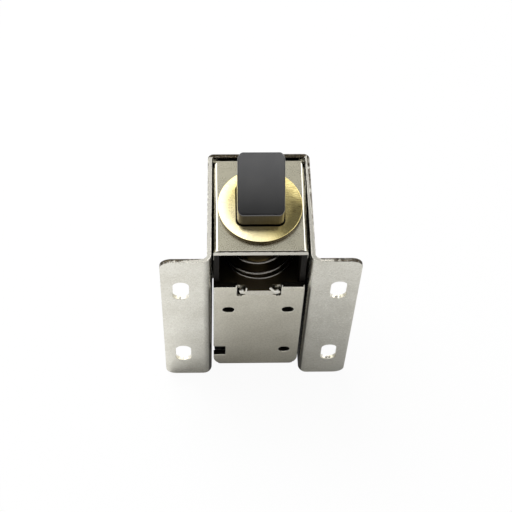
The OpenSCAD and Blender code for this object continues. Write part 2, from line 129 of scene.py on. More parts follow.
class Finish:
    def __init__(self, name, tree=None):
        if tree is None:
            self.material = bpy.data.materials.new(name)
            self.material.use_nodes = True
            tree = self.material.node_tree
        self.tree = tree
        self.shader = tree.nodes.get("Principled BSDF")

    def feed(self, entry, value):
        if isinstance(value, Wire):
            self.tree.links.new(value.socket, entry)
        elif isinstance(value, (tuple, list)) and len(value) == 3 and entry.type == "RGBA":
            entry.default_value = (*value, 1)
        else:
            entry.default_value = value

    def node(self, kind, settings=None, sockets=None, out=0):
        made = self.tree.nodes.new(kind)
        for key, value in (settings or {}).items():
            setattr(made, key, value)
        for key, value in (sockets or {}).items():
            self.feed(made.inputs[key], value)
        return Wire(made.outputs[out])

    def coords(self):
        return self.node("ShaderNodeTexCoord", out="Object")

    def facing(self):
        return self.node("ShaderNodeNewGeometry", out="Normal")

    def parts(self, vector):
        split = self.node("ShaderNodeSeparateXYZ", sockets={0: vector}).socket.node
        return [Wire(split.outputs[n]) for n in range(3)]

    def joined(self, x, y, z):
        return self.node("ShaderNodeCombineXYZ", sockets={0: x, 1: y, 2: z})

    def vectorMaths(self, operation, *sockets):
        return self.node("ShaderNodeVectorMath", {"operation": operation}, dict(enumerate(sockets)))

    # grains of about `grain` millimetres, given as one size or one for each axis
    def noise(self, vector, grain, detail=2, rough=0.5):
        if not isinstance(grain, (tuple, list)):
            grain = (grain, grain, grain)
        spread = self.vectorMaths("MULTIPLY", vector, [1000 / g for g in grain])
        return self.node("ShaderNodeTexNoise", {"noise_dimensions": "3D"},
                         {"Vector": spread, "Scale": 1, "Detail": detail, "Roughness": rough})

    def smooth(self, value, start, end, low=0.0, high=1.0):
        return self.node("ShaderNodeMapRange", {"interpolation_type": "SMOOTHSTEP"},
                         {0: value, 1: start, 2: end, 3: low, 4: high})

    def mix(self, factor, one, other):
        made = self.node("ShaderNodeMix", {"data_type": "RGBA"}, {0: factor, 6: one, 7: other})
        return Wire(made.socket.node.outputs[2])

    def bump(self, microns):
        height = 0.000001 * microns
        return self.node("ShaderNodeBump", sockets={"Height": height, "Distance": 1.0, "Strength": 1.0})

    def done(self, **sockets):
        names = {"colour": "Base Color", "metal": "Metallic", "rough": "Roughness", "normal": "Normal",
                 "coat": "Coat Weight", "coatRough": "Coat Roughness", "ior": "IOR",
                 "scatter": "Subsurface Weight"}
        for key, value in sockets.items():
            self.feed(self.shader.inputs[names[key]], value)
        return self.material


# Studio: a white floor, a white room with dark flags in it, and one large soft lamp
studioSet = {
    "floorHalf": 2.5,
    "floorColour": (0.80, 0.80, 0.80),
    "floorRough": 0.9,
    "floorSeen": 0.95,          # share of plain white that the camera sees
    "floorGloss": 0.05,         # the same share in the metal's reflections
    "roomLight": 0.30,          # what the white room gives to matt surfaces
    "lampPlace": (-0.30, 0.30, 0.736),
    "lampSize": (0.60, 0.60),
    "lampPower": 8.4,
}

# Panels of the room: where each begins and is full along x, y and z, and how it changes the white there
panels = {
    "frontFlag": {"change": -0.97, "limits": {"y": (-0.10, -0.50), "z": (0.72, 0.53)}},
    "left": {"change": 1.20, "limits": {"x": (-0.02, -0.17), "z": (0.15, 0.35), "y": (-0.30, 0.05)}},
    "right": {"change": 1.00, "limits": {"x": (0.40, 0.52), "z": (0.10, 0.25), "y": (-0.30, 0.05)}},
}

# The wall behind and the ceiling right above are one panel
backPanel = {"change": 0.40, "wall": {"y": (0.58, 0.72)}, "ceiling": {"z": (0.94, 0.98)}}

# Round patches of the room, each with the cosines at its rim and where it is full
patches = {
    "darkCard": {"aim": (-0.034, -0.491, 0.871), "rim": 0.966, "full": 0.988, "change": -0.90, "limits": {}},
    "dimCeiling": {"aim": (0.034, 0.493, 0.869), "rim": 0.962, "full": 0.992, "change": -0.40, "limits": {}},
    "darkCorner": {"aim": (0.380, 0.420, 0.824), "rim": 0.930, "full": 0.975, "change": -0.86,
                   "limits": {"y": (0.61, 0.53)}},
}


# What the camera sees by itself, and what it sees mirrored or through glass
def raysOf(paint):
    ray = paint.node("ShaderNodeLightPath").socket.node.outputs
    mirrored = Wire(ray["Is Glossy Ray"]).above(Wire(ray["Is Transmission Ray"]))
    return Wire(ray["Is Camera Ray"]), mirrored


def addFloor():
    bpy.ops.object.select_all(action="DESELECT")
    bpy.ops.mesh.primitive_plane_add(size=2 * studioSet["floorHalf"])
    floor = bpy.context.object
    floor.name = "floor"
    paint = Finish("floorPaper")
    seen, mirrored = raysOf(paint)
    share = studioSet["floorSeen"] * seen + studioSet["floorGloss"] * mirrored
    white = paint.node("ShaderNodeEmission", sockets={"Color": (1, 1, 1), "Strength": 1.0})
    paint.done(colour=studioSet["floorColour"], rough=studioSet["floorRough"])
    blend = paint.node("ShaderNodeMixShader", sockets={
        0: share, 1: Wire(paint.shader.outputs[0]), 2: white})
    paint.tree.links.new(blend.socket, paint.tree.nodes["Material Output"].inputs["Surface"])
    floor.data.materials.append(paint.material)


def addRoom():
    world = bpy.data.worlds.new("studioRoom")
    bpy.context.scene.world = world
    world.use_nodes = True
    room = Finish("room", world.node_tree)
    x, y, z = room.parts(room.node("ShaderNodeTexCoord", out="Generated"))
    along = {"x": x, "y": y, "z": z}

    def within(limits, share=1.0):
        for axis, (start, full) in limits.items():
            share = share * room.smooth(along[axis], start, full)
        return share

    white = 1.0
    for panel in panels.values():
        white = white * (1 + panel["change"] * within(panel["limits"]))
    behind = within(backPanel["wall"]).above(within(backPanel["ceiling"]))
    white = white * (1 + backPanel["change"] * behind)
    for patch in patches.values():
        aimX, aimY, aimZ = patch["aim"]
        share = room.smooth(x * aimX + y * aimY + z * aimZ, patch["rim"], patch["full"])
        white = white * (1 + patch["change"] * within(patch["limits"], share))
    seen, mirrored = raysOf(room)
    level = studioSet["roomLight"] + (1 - studioSet["roomLight"]) * mirrored
    strength = seen + (1 - seen) * level * white
    back = world.node_tree.nodes["Background"]
    back.inputs["Color"].default_value = (1, 1, 1, 1)
    world.node_tree.links.new(strength.socket, back.inputs["Strength"])


def addLamp():
    data = bpy.data.lights.new("softLamp", "AREA")
    data.shape = "RECTANGLE"
    data.size, data.size_y = studioSet["lampSize"]
    data.energy = studioSet["lampPower"]
    lamp = bpy.data.objects.new("softLamp", data)
    bpy.context.scene.collection.objects.link(lamp)
    place = Vector(studioSet["lampPlace"])
    aim = (Vector((0, 0, 0)) - place).to_track_quat("-Z", "Y").to_matrix().to_4x4()
    lamp.matrix_world = Matrix.Translation(place) @ aim
    lamp.visible_camera = False
    lamp.visible_glossy = False


addFloor()
addRoom()
addLamp()
bpy.context.scene.view_settings.view_transform = "Standard"
print("studio built")


# Finishes, each on its own function. Grains are in millimetres, bumps in thousandths of one
def nickelSheet(name, pale, deep, rough, grain, mottle=1.0, bendShine=0.0, gapFrom=0.0):
    look = {"cloudGrain": 7.0, "hazeGrain": 2.2, "rubGrain": (0.12, 0.12, 4.0), "deepTo": 0.34,
            "paleFrom": 0.66, "bend": (0.80, 0.78, 0.70), "flat": 0.995, "bent": 0.96,
            "gap": (0.11, 0.10, 0.08), "gapFade": 1.4 * mm, "gapTop": 43 * mm, "gapFull": 40 * mm}
    paint = Finish(name)
    place = paint.coords()
    cloud = paint.noise(place, look["cloudGrain"], 3)
    speck = paint.noise(place, grain, 3, 0.6)
    haze = paint.noise(place, look["hazeGrain"], 2)
    rub = paint.noise(place, look["rubGrain"], 2)
    tone = paint.smooth(0.35 * cloud + 0.65 * speck, look["deepTo"], look["paleFrom"])
    colour = paint.mix(tone, deep, pale)
    dull = rough + 0.08 * (haze - 0.5) + 0.08 * mottle * (speck - 0.5) + 0.05 * (rub - 0.5)
    if bendShine:
        # the press has polished the sheet where it bends, and the bends are painted paler there as a
        # highlight
        upward = paint.parts(paint.facing())[2]
        bent = paint.smooth(upward, look["flat"], look["bent"])
        dull = dull - bendShine * bent
        colour = paint.mix(bent, colour, look["bend"])
    if gapFrom:
        # painted shade: dark in the narrow gap beside the coil, on the walls that face the middle
        x, y, z = paint.parts(place)
        across = paint.parts(paint.facing())[0] * x
        inGapShade = paint.smooth(across, -gapFrom, -gapFrom - look["gapFade"])
        inGapShade = inGapShade * paint.smooth(z, look["gapTop"], look["gapFull"])
        colour = paint.mix(inGapShade, colour, look["gap"])
    return paint.done(colour=colour, metal=1.0, rough=dull,
                      normal=paint.bump(1.6 * mottle * speck + 4.0 * cloud + 0.3 * rub))


# A sheared edge: a smooth band where the punch entered, then the torn dark part
def shearedSteel():
    look = {"smooth": (0.80, 0.775, 0.69), "pits": (0.022, 0.017, 0.011), "torn": (0.22, 0.18, 0.12),
            "waverGrain": 0.9, "tornGrain": 0.24, "fineGrain": 0.09, "waver": 0.22, "ragged": 0.32,
            "tornFrom": 0.45, "smoothTo": 0.33, "smoothDull": 0.24, "tornDull": 0.42}
    paint = Finish("shearedSteel")
    place = paint.coords()
    depth = paint.node("ShaderNodeAttribute", {"attribute_name": "cutDepth"}, out="Fac").size()
    waver = paint.noise(place, look["waverGrain"], 2)
    torn = paint.noise(place, look["tornGrain"], 4, 0.7)
    fine = paint.noise(place, look["fineGrain"], 2)
    depth = depth + look["waver"] * (waver - 0.5) + look["ragged"] * (torn - 0.5)
    burnish = paint.smooth(depth, look["tornFrom"], look["smoothTo"])
    dark = paint.mix(paint.smooth(torn, 0.50, 0.64), look["pits"], look["torn"])
    colour = paint.mix(burnish, dark, look["smooth"])
    dull = look["smoothDull"] * burnish + (1 - burnish) * (look["tornDull"] + 0.25 * torn)
    height = (1 - burnish) * (30 * torn + 10 * fine) + burnish * 2 * fine
    return paint.done(colour=colour, metal=1.0, rough=dull, normal=paint.bump(height))


# Brass faced on a lathe: slightly domed, and its fine rings smear every reflection along the radius
def guideBrass():
    size = {"axisY": -0.6 * mm, "ringPitch": 0.06 * mm, "ringTilt": 0.11, "rayGrain": 0.09, "rayTilt": 0.07,
            "rayLength": 0.05, "rayWidth": 0.007, "cloudGrain": 3.0, "darkStreakGrain": (1.3, 0.32, 1.0),
            "flatRadius": 6.0 * mm, "domeRadius": 8.4 * mm, "innerLean": 0.045, "outerLean": 0.15,
            "highlightFrom": -1 * mm, "highlightFull": -9 * mm, "darkerRightX": (3.5 * mm, 6.0 * mm),
            "darkerRightY": (-4.0 * mm, -1.0 * mm)}
    look = {"deep": (0.84, 0.68, 0.26), "pale": (1.0, 0.86, 0.40), "cloud": (0.70, 0.54, 0.20),
            "highlight": (1.0, 0.92, 0.64), "darkStreak": (0.34, 0.24, 0.08), "rim": (0.08, 0.055, 0.018),
            "cloudShare": 0.2, "highlightShare": 0.6, "darkStreakShare": 0.40, "dull": 0.13}
    paint = Finish("guideBrass")
    place = paint.coords()
    x, y, z = paint.parts(place)
    y = y - size["axisY"]
    radius = (x * x + y * y).power(0.5)
    turn = paint.node("ShaderNodeMath", {"operation": "ARCTAN2"}, {0: y, 1: x})
    jitter = paint.noise(place, 0.5, 1)
    ring = (radius / size["ringPitch"] + 1.3 * jitter).maths("FRACT")
    rays = paint.joined(radius * size["rayLength"], turn * size["rayWidth"], 0.0)
    ray = paint.noise(rays, size["rayGrain"], 3, 0.6)
    cloud = paint.noise(place, size["cloudGrain"], 2)
    darkStreak = paint.noise(place, size["darkStreakGrain"], 4, 0.65)
    colour = paint.mix(paint.smooth(ray, 0.32, 0.68), look["deep"], look["pale"])
    colour = paint.mix(paint.smooth(cloud, 0.55, 0.75) * look["cloudShare"], colour, look["cloud"])
    # painted highlight: the disc turns paler towards its left, where it mirrors the bright side of the room
    paintedHighlight = paint.smooth(x + 0.85 * y, size["highlightFrom"], size["highlightFull"])
    colour = paint.mix(paintedHighlight * look["highlightShare"], colour, look["highlight"])
    # darker streaks on its right side
    darkerRight = paint.smooth(x, *size["darkerRightX"]) * paint.smooth(y, *size["darkerRightY"])
    colour = paint.mix(paint.smooth(darkStreak, 0.48, 0.60) * darkerRight * look["darkStreakShare"], colour, look["darkStreak"])
    flat = paint.facing()
    upward = paint.parts(flat)[2]
    onTop = paint.smooth(upward, 0.9, 0.98)
    # painted shade: the rim and the side wall are darker than the top face
    colour = paint.mix(paint.smooth(upward, 0.50, 0.97), look["rim"], colour)
    away = paint.vectorMaths("NORMALIZE", paint.joined(x, y, 0.0))
    dome = paint.smooth(radius, size["flatRadius"], size["domeRadius"], size["innerLean"], size["outerLean"])
    tilt = ((ring - 0.5) * size["ringTilt"] + dome + (ray - 0.5) * size["rayTilt"]) * onTop
    lean = paint.node("ShaderNodeVectorMath", {"operation": "SCALE"}, {0: away, "Scale": tilt})
    normal = paint.vectorMaths("NORMALIZE", paint.vectorMaths("ADD", flat, lean))
    dull = look["dull"] + 0.10 * (ray - 0.5) + 0.06 * (cloud - 0.5)
    return paint.done(colour=colour, metal=1.0, rough=dull, normal=normal)


# Deep recesses and torn walls, painted near-black as shade
def paintedShadeSteel():
    paint = Finish("paintedShadeSteel")
    place = paint.coords()
    speck = paint.noise(place, 0.20, 3, 0.6)
    cloud = paint.noise(place, 1.5, 2)
    colour = paint.mix(paint.smooth(speck, 0.42, 0.66), (0.006, 0.005, 0.004), (0.034, 0.029, 0.022))
    return paint.done(colour=colour, rough=0.45 + 0.15 * cloud, ior=1.2, normal=paint.bump(8 * speck))


def tubeBrass():
    paint = Finish("tubeBrass")
    drawn = paint.noise(paint.coords(), (0.15, 0.15, 6.0), 2)
    colour = paint.mix(drawn, (0.62, 0.47, 0.20), (0.78, 0.62, 0.30))
    return paint.done(colour=colour, metal=1.0, rough=0.25 + 0.1 * drawn, normal=paint.bump(0.8 * drawn))


def boltFinish():
    look = {"deep": (0.178, 0.178, 0.181), "pale": (0.197, 0.196, 0.197), "dull": 0.25,
            "sawnShadeDeep": (0.096, 0.086, 0.076), "sawnShadePale": (0.138, 0.124, 0.110), "sawnDull": 0.08,
            "cloudGrain": 4.0, "groundGrain": (0.05, 2.5, 2.5), "speckGrain": 0.12,
            "sawnGrain": (0.15, 0.15, 3.0)}
    paint = Finish("blackNickel")
    place = paint.coords()
    cloud = paint.noise(place, look["cloudGrain"], 3)
    ground = paint.noise(place, look["groundGrain"], 2)
    speck = paint.noise(place, look["speckGrain"], 2)
    colour = paint.mix(paint.smooth(cloud, 0.3, 0.7), look["deep"], look["pale"])
    # the upright sides stay as sawn: duller and streaked, and painted darker as shade
    side = paint.smooth(paint.parts(paint.facing())[2], 0.25, 0.05)
    sawn = paint.noise(place, look["sawnGrain"], 3)
    colour = paint.mix(side, colour, paint.mix(sawn, look["sawnShadeDeep"], look["sawnShadePale"]))
    dull = look["dull"] + 0.05 * (ground - 0.5) + 0.04 * (speck - 0.5) + look["sawnDull"] * side
    return paint.done(colour=colour, metal=1.0, rough=dull,
                      normal=paint.bump(0.6 * ground + 0.5 * speck + 2 * side * sawn))


def turnedSteel(name, pale, deep, rough):
    paint = Finish(name)
    place = paint.coords()
    x, y, z = paint.parts(place)
    ring = paint.noise(paint.joined(x * 0.02, y * 0.02, z), 0.06, 2)
    cloud = paint.noise(place, 2.5, 3)
    colour = paint.mix(0.5 * ring + 0.5 * cloud, deep, pale)
    return paint.done(colour=colour, metal=1.0, rough=rough + 0.12 * (cloud - 0.5),
                      normal=paint.bump(2 * ring))


def screwZinc():
    paint = Finish("screwZinc")
    place = paint.coords()
    speck = paint.noise(place, 0.12, 2)
    colour = paint.mix(paint.noise(place, 1.2, 3), (0.56, 0.57, 0.58), (0.70, 0.70, 0.69))
    return paint.done(colour=colour, metal=1.0, rough=0.26 + 0.14 * (speck - 0.5),
                      normal=paint.bump(1.8 * speck))


def springSteel():
    paint = Finish("springSteel")
    drawn = paint.noise(paint.coords(), 0.25, 3)
    colour = paint.mix(drawn, (0.34, 0.32, 0.29), (0.50, 0.48, 0.44))
    return paint.done(colour=colour, metal=1.0, rough=0.14 + 0.10 * drawn, normal=paint.bump(1.2 * drawn))


def bobbinNylon():
    paint = Finish("bobbinNylon")
    place = paint.coords()
    grain = paint.noise(place, 0.10, 3)
    colour = paint.mix(paint.noise(place, 3.0, 2), (0.020, 0.020, 0.021), (0.034, 0.034, 0.036))
    return paint.done(colour=colour, rough=0.42 + 0.12 * grain, normal=paint.bump(4 * grain))


def washerNylon():
    paint = Finish("washerNylon")
    place = paint.coords()
    grain = paint.noise(place, 0.15, 3)
    colour = paint.mix(paint.noise(place, 2.0, 2), (0.62, 0.60, 0.54), (0.74, 0.72, 0.67))
    return paint.done(colour=colour, rough=0.40 + 0.12 * grain, normal=paint.bump(3 * grain), scatter=0.2)


def coilCopper():
    wire = {"pitch": 0.32 * mm, "gap": (0.20, 0.065, 0.025), "crest": (0.72, 0.30, 0.13),
            "cloud": (0.50, 0.19, 0.08), "bump": 80}
    paint = Finish("coilCopper")
    place = paint.coords()
    x, y, z = paint.parts(place)
    wave = (z * (2 * math.pi / wire["pitch"])).maths("SINE")
    cloud = paint.noise(place, 2.0, 2)
    # painted shade in the creases between the turns
    colour = paint.mix(paint.smooth(wave, -0.9, 0.2), wire["gap"], wire["crest"])
    colour = paint.mix(cloud * 0.4, colour, wire["cloud"])
    return paint.done(colour=colour, metal=1.0, rough=0.30 + 0.1 * cloud,
                      normal=paint.bump(wire["bump"] * (1 - wave * wave).above(0.0).power(0.5)),
                      coat=0.5, coatRough=0.15)


def coilTape():
    paint = Finish("coilTape")
    place = paint.coords()
    grain = paint.noise(place, 0.2, 3)
    crease = paint.noise(place, (5.0, 5.0, 0.8), 2)
    colour = paint.mix(grain, (0.014, 0.014, 0.015), (0.030, 0.030, 0.031))
    return paint.done(colour=colour, rough=0.36 + 0.1 * crease, normal=paint.bump(15 * crease + 2 * grain))


def terminalTin():
    paint = Finish("terminalTin")
    cloud = paint.noise(paint.coords(), 0.5, 3)
    colour = paint.mix(cloud, (0.58, 0.58, 0.57), (0.74, 0.74, 0.73))
    return paint.done(colour=colour, metal=1.0, rough=0.30 + 0.2 * (cloud - 0.5),
                      normal=paint.bump(8 * cloud))


finishes = {
    # the bracket's walls carry painted shade where they face the coil across the narrow gap
    "bracket": nickelSheet("bracketNickel", (0.83, 0.815, 0.74), (0.665, 0.645, 0.565), 0.24, 0.36, 2.6,
                           gapFrom=6.6 * mm),
    "frame": nickelSheet("frameNickel", (0.79, 0.76, 0.655), (0.635, 0.605, 0.505), 0.32, 0.34, 2.8),
    "nose": nickelSheet("noseNickel", (0.56, 0.53, 0.415), (0.45, 0.425, 0.325), 0.28, 0.24, 1.5,
                        bendShine=0.14),
    "pole": nickelSheet("poleNickel", (0.78, 0.75, 0.66), (0.68, 0.65, 0.56), 0.26, 0.25),
    # a dark copy of the pole plate's nickel for its top face, as painted shade
    "poleTopShade": nickelSheet("poleTopShadeNickel", (0.17, 0.135, 0.085), (0.11, 0.088, 0.055), 0.36, 0.25),
    "cut": shearedSteel(),
    "burr": nickelSheet("brightBurr", (0.92, 0.90, 0.82), (0.84, 0.82, 0.74), 0.34, 0.25),
    "shade": paintedShadeSteel(),
    "guide": guideBrass(),
    "tube": tubeBrass(),
    "bolt": boltFinish(),
    # painted shade: the plunger takes a darker copy of the turned steel, as it sits in shade inside the
    # window
    "plunger": turnedSteel("shadedPlungerSteel", (0.34, 0.31, 0.25), (0.22, 0.195, 0.15), 0.30),
    "fixedPole": turnedSteel("poleSteel", (0.58, 0.56, 0.51), (0.44, 0.42, 0.37), 0.34),
    "spring": springSteel(),
    "screw": screwZinc(),
    "bobbin": bobbinNylon(),
    "washer": washerNylon(),
    "copper": coilCopper(),
    "tape": coilTape(),
    "tin": terminalTin(),
}
print("finishes made:", len(finishes))


# Making pieces
def pickOnly(*pieces):
    if bpy.context.object and bpy.context.object.mode != "OBJECT":
        bpy.ops.object.mode_set(mode="OBJECT")
    bpy.ops.object.select_all(action="DESELECT")
    for piece in pieces:
        piece.select_set(True)
    bpy.context.view_layer.objects.active = pieces[0]


# A CAD node's mesh without its doubles and the edges inside its flat faces
def copyOfNode(node, name):
    size = {"merge": 0.002 * mm, "flat": math.radians(0.4)}
    piece = bpy.data.objects.new(name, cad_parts[node].data.copy())
    bpy.context.scene.collection.objects.link(piece)
    piece.data.materials.clear()
    pickOnly(piece)
    bpy.ops.object.mode_set(mode="EDIT")
    bpy.ops.mesh.select_all(action="SELECT")
    bpy.ops.mesh.customdata_custom_splitnormals_clear()
    bpy.ops.mesh.remove_doubles(threshold=size["merge"])
    bpy.ops.mesh.dissolve_limited(angle_limit=size["flat"])
    bpy.ops.mesh.mark_sharp(clear=True)
    bpy.ops.object.mode_set(mode="OBJECT")
    return piece


def modify(piece, kind, **settings):
    pickOnly(piece)
    modifier = piece.modifiers.new(kind.lower(), kind)
    for key, value in settings.items():
        setattr(modifier, key, value)
    bpy.ops.object.modifier_apply(modifier=modifier.name)


def breakEdges(piece, width, segments=2, angle=40, clamp=False):
    modify(piece, "BEVEL", width=width, segments=segments, limit_method="ANGLE",
           angle_limit=math.radians(angle), use_clamp_overlap=clamp, miter_outer="MITER_ARC")
    pickOnly(piece)
    bpy.ops.object.shade_smooth_by_angle(angle=smoothTurn)
    modify(piece, "WEIGHTED_NORMAL", mode="FACE_AREA", weight=50, keep_sharp=True)


# Cuts the piece's faces along planes, each given by a point and a direction
def cutAlong(piece, planes, snap):
    pickOnly(piece)
    bpy.ops.object.mode_set(mode="EDIT")
    for point, direction in planes:
        bpy.ops.mesh.select_all(action="SELECT")
        bpy.ops.mesh.bisect(plane_co=point, plane_no=direction, threshold=snap)
    bpy.ops.object.mode_set(mode="OBJECT")


def settle(piece, body, slot, *nodes):
    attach(piece, body)
    if nodes:
        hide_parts(*nodes)


# The sheet's finish on its faces, the sheared one on its cuts, and the near-black one of painted shade in its
# recesses
def paintSheet(piece, sheet, isCut, depthOf, isShade=None):
    for finish in (sheet, "cut", "shade"):
        piece.data.materials.append(finishes[finish])
    depth = piece.data.attributes.new("cutDepth", "FLOAT", "POINT")
    faces = {}
    for face in piece.data.polygons:
        cut = isCut(face.normal, face.center)
        face.material_index = 1 if cut else 0
        if isShade and isShade(face.normal, face.center):
            face.material_index = 2
        if not cut:
            for corner in face.vertices:
                faces.setdefault(corner, []).append(face)
    for vertex in piece.data.vertices:
        depth.data[vertex.index].value = depthOf(vertex.co, faces.get(vertex.index, []))


# Places of the tapped holes in the coil frame. The screws sit behind the first and the last of them
taps = {
    "frontLeft": (-6.55 * mm, 28.85 * mm),
    "frontRight": (6.55 * mm, 28.85 * mm),
    "rear": (6.55 * mm, 8.85 * mm),
}


# Bent sheet parts
def buildBracket():
    size = {"edge": 0.07 * mm, "webInside": 11.8 * mm, "webHalf": 9.75 * mm, "flangeInside": -12.9 * mm,
            "flangeFrom": 12.1 * mm, "slotsFrom": 5 * mm, "slotsTo": 48 * mm, "slotsHalf": 18.55 * mm}
    # How deep the punch had gone, as a share of the sheet, at the outer and the inner rim of each cut
    depths = {"web": (1.0, 0.62), "slot": (0.0, 0.0), "leftFlange": (0.47, 0.42), "rightFlange": (0.49, 0.44),
              "leftWall": (0.43, -0.38), "rightWall": (0.46, -0.38)}
    piece = copyOfNode("mounting_bracket", "bracketSheet")

    def isCut(normal, centre):
        onFlange = abs(centre.x) > size["flangeFrom"] and centre.y < size["flangeInside"] + near
        inWebHole = centre.y > size["webInside"] and abs(centre.x) < size["webHalf"]
        return abs(normal.z) > 0.05 or (onFlange and abs(normal.y) < 0.3) or \
            (inWebHole and abs(normal.y) < 0.05)

    def cutAt(place):
        if abs(place.x) < size["webHalf"] and place.y > size["webInside"] - near:
            return "web"
        side = "right" if place.x > 0 else "left"
        if place.y < size["flangeInside"] + near and abs(place.x) > size["flangeFrom"]:
            inSlots = abs(place.x) < size["slotsHalf"] and size["slotsFrom"] < place.z < size["slotsTo"]
            return "slot" if inSlots else side + "Flange"
        return side + "Wall"

    def depthOf(place, faces):
        outer = sum(f.normal.y + math.copysign(1, place.x) * f.normal.x for f in faces) > 0
        return depths[cutAt(place)][0 if outer else 1]

    paintSheet(piece, "bracket", isCut, depthOf)
    breakEdges(piece, size["edge"])
    settle(piece, "housing", "bracket_nickel", "mounting_bracket")


def buildCoilFrame():
    size = {"edge": 0.07 * mm, "open": -12.0 * mm, "web": 11.8 * mm, "sheet": 1.4 * mm, "baseTop": 2.0 * mm,
            "rim": 0.16 * mm, "tapRadius": 1.3 * mm, "notchLow": 35.65 * mm, "openLeg": -10 * mm,
            "frontLow": 35.55 * mm, "frontHalf": 9.7 * mm, "onFace": 0.01 * mm, "onRim": 0.02 * mm,
            "outletSide": -6.9 * mm, "outletLow": 5.9 * mm, "outletTop": 10.6 * mm}
    piece = copyOfNode("coil_frame", "coilFrame")

    # A small countersink round each tapped hole
    pickOnly(piece)
    for edge in piece.data.edges:
        ends = [piece.data.vertices[v].co for v in edge.vertices]
        edge.select = any(all(abs(end.y - size["open"]) < size["onFace"] and
                              abs(math.hypot(end.x - x, end.z - z) - size["tapRadius"]) < size["onRim"]
                              for end in ends) for x, z in taps.values())
    bpy.ops.object.mode_set(mode="EDIT")
    bpy.ops.mesh.select_mode(type="EDGE")
    bpy.ops.mesh.bevel(offset=size["rim"], segments=2, affect="EDGES")
    bpy.ops.object.mode_set(mode="OBJECT")

    def depthOf(place, faces):
        return min(place.y - size["open"], size["web"] - place.y, place.z) / size["sheet"]

    def isCut(normal, centre):
        if abs(normal.x) > 0.3 or (centre.z > size["notchLow"] and normal.z > 0.5):
            return True
        # notch, outlet and hole walls run through a leg
        return 0.15 < depthOf(centre, []) < 0.85 and abs(normal.y) < 0.05 and centre.z > size["baseTop"]

    # painted shade in the tapped holes, the wire outlet and along the frame's top edge
    def isShade(normal, centre):
        inTap = any(math.hypot(centre.x - x, centre.z - z) < size["tapRadius"] for x, z in taps.values())
        inOutlet = centre.x < size["outletSide"] and size["outletLow"] < centre.z < size["outletTop"]
        atFront = centre.z > size["frontLow"] and abs(centre.x) < size["frontHalf"]
        return (inTap or inOutlet or atFront) and abs(normal.y) < 0.3 and centre.y < size["openLeg"]

    paintSheet(piece, "frame", isCut, depthOf, isShade)
    breakEdges(piece, size["edge"], clamp=True)
    settle(piece, "housing", "frame_nickel", "coil_frame")


def buildNoseFrame():
    size = {"edge": 0.08 * mm, "front": 53.3 * mm, "inside": 52.1 * mm, "wallEnds": 50 * mm,
            "bend": 51.20 * mm, "foot": 50.90 * mm, "low": -10.55 * mm, "innerHalf": 8.65 * mm,
            "lip": 0.45 * mm, "lean": -0.10 * mm, "dropFrom": -9.95 * mm, "lipDepth": 0.66, "lipCurve": 1.4,
            "arcX": 8.3 * mm, "arcZ": 51.8 * mm, "arc": 1.5 * mm, "leftArc": 0.95 * mm,
            "rightArc": 0.9 * mm, "strips": (52.3 * mm, 52.8 * mm), "snap": 0.001 * mm,
            "onFace": 0.01 * mm, "onArc": 0.02 * mm, "onEdge": 0.05 * mm}
    piece = copyOfNode("nose_frame", "noseFrame")

    def upLip(z):
        return max(0, (z - size["bend"]) / (size["front"] - size["bend"]))

    # The bends are pressed crisper outside than a plain bend
    for vertex in piece.data.vertices:
        across, above = abs(vertex.co.x) - size["arcX"], vertex.co.z - size["arcZ"]
        if above > -size["onFace"] and abs(math.hypot(across, above) - size["arc"]) < size["onArc"]:
            crisp = size["leftArc"] if vertex.co.x < 0 else size["rightArc"]
            shift, share = size["arc"] - crisp, crisp / size["arc"]
            vertex.co.x = math.copysign(size["arcX"] + shift + across * share, vertex.co.x)
            vertex.co.z = size["arcZ"] + shift + above * share
    levels = (size["foot"], size["bend"], *size["strips"])
    planes = [((0, 0, level), (0, 0, 1)) for level in levels]
    cutAlong(piece, planes + [((0, size["dropFrom"], 0), (0, 1, 0))], size["snap"])

    # The press has drawn the plate's free edge out and down into a small lip
    for vertex in piece.data.vertices:
        if vertex.co.z > size["bend"] - size["onEdge"] and vertex.co.y < size["low"] + size["onEdge"]:
            if vertex.co.z < size["inside"] + size["onEdge"] and abs(vertex.co.x) < size["innerHalf"]:
                vertex.co.z = size["bend"]
            vertex.co.y -= size["lip"] + size["lean"] * (1 - upLip(vertex.co.z))
    pickOnly(piece)
    bpy.ops.object.mode_set(mode="EDIT")
    bpy.ops.mesh.select_all(action="SELECT")
    bpy.ops.mesh.remove_doubles(threshold=size["onFace"])
    bpy.ops.object.mode_set(mode="OBJECT")

    # The lip is torn only beside the plate's face, the walls' edges all over
    def depthOf(place, faces):
        onLip = place.y < size["low"] - near
        return size["lipDepth"] * upLip(place.z) ** size["lipCurve"] if onLip else 1.0

    def isCut(normal, centre):
        return abs(normal.y) > 0.2 or (centre.z < size["wallEnds"] and abs(normal.z) > 0.5)

    # painted shade on the walls' front edges below the bend, and on the inner walls and the plate's underside
    def isShade(normal, centre):
        if normal.y < -0.7:
            return centre.z < size["bend"]
        return abs(centre.x) < size["innerHalf"] and centre.z < size["inside"] + size["onEdge"] and \
            (abs(normal.x) > 0.5 or normal.z < -0.5)

    paintSheet(piece, "nose", isCut, depthOf, isShade)
    breakEdges(piece, size["edge"])
    settle(piece, "housing", "frame_nickel", "nose_frame")


def buildPolePlate():
    size = {"edge": 0.10 * mm}
    piece = copyOfNode("pole_plate", "polePlate")
    for finish in ("pole", "poleTopShade"):
        piece.data.materials.append(finishes[finish])
    # painted shade: the top face takes the dark copy of the nickel
    for face in piece.data.polygons:
        face.material_index = 1 if face.normal.z > 0.5 else 0
    breakEdges(piece, size["edge"])
    settle(piece, "housing", "pole_nickel", "pole_plate")


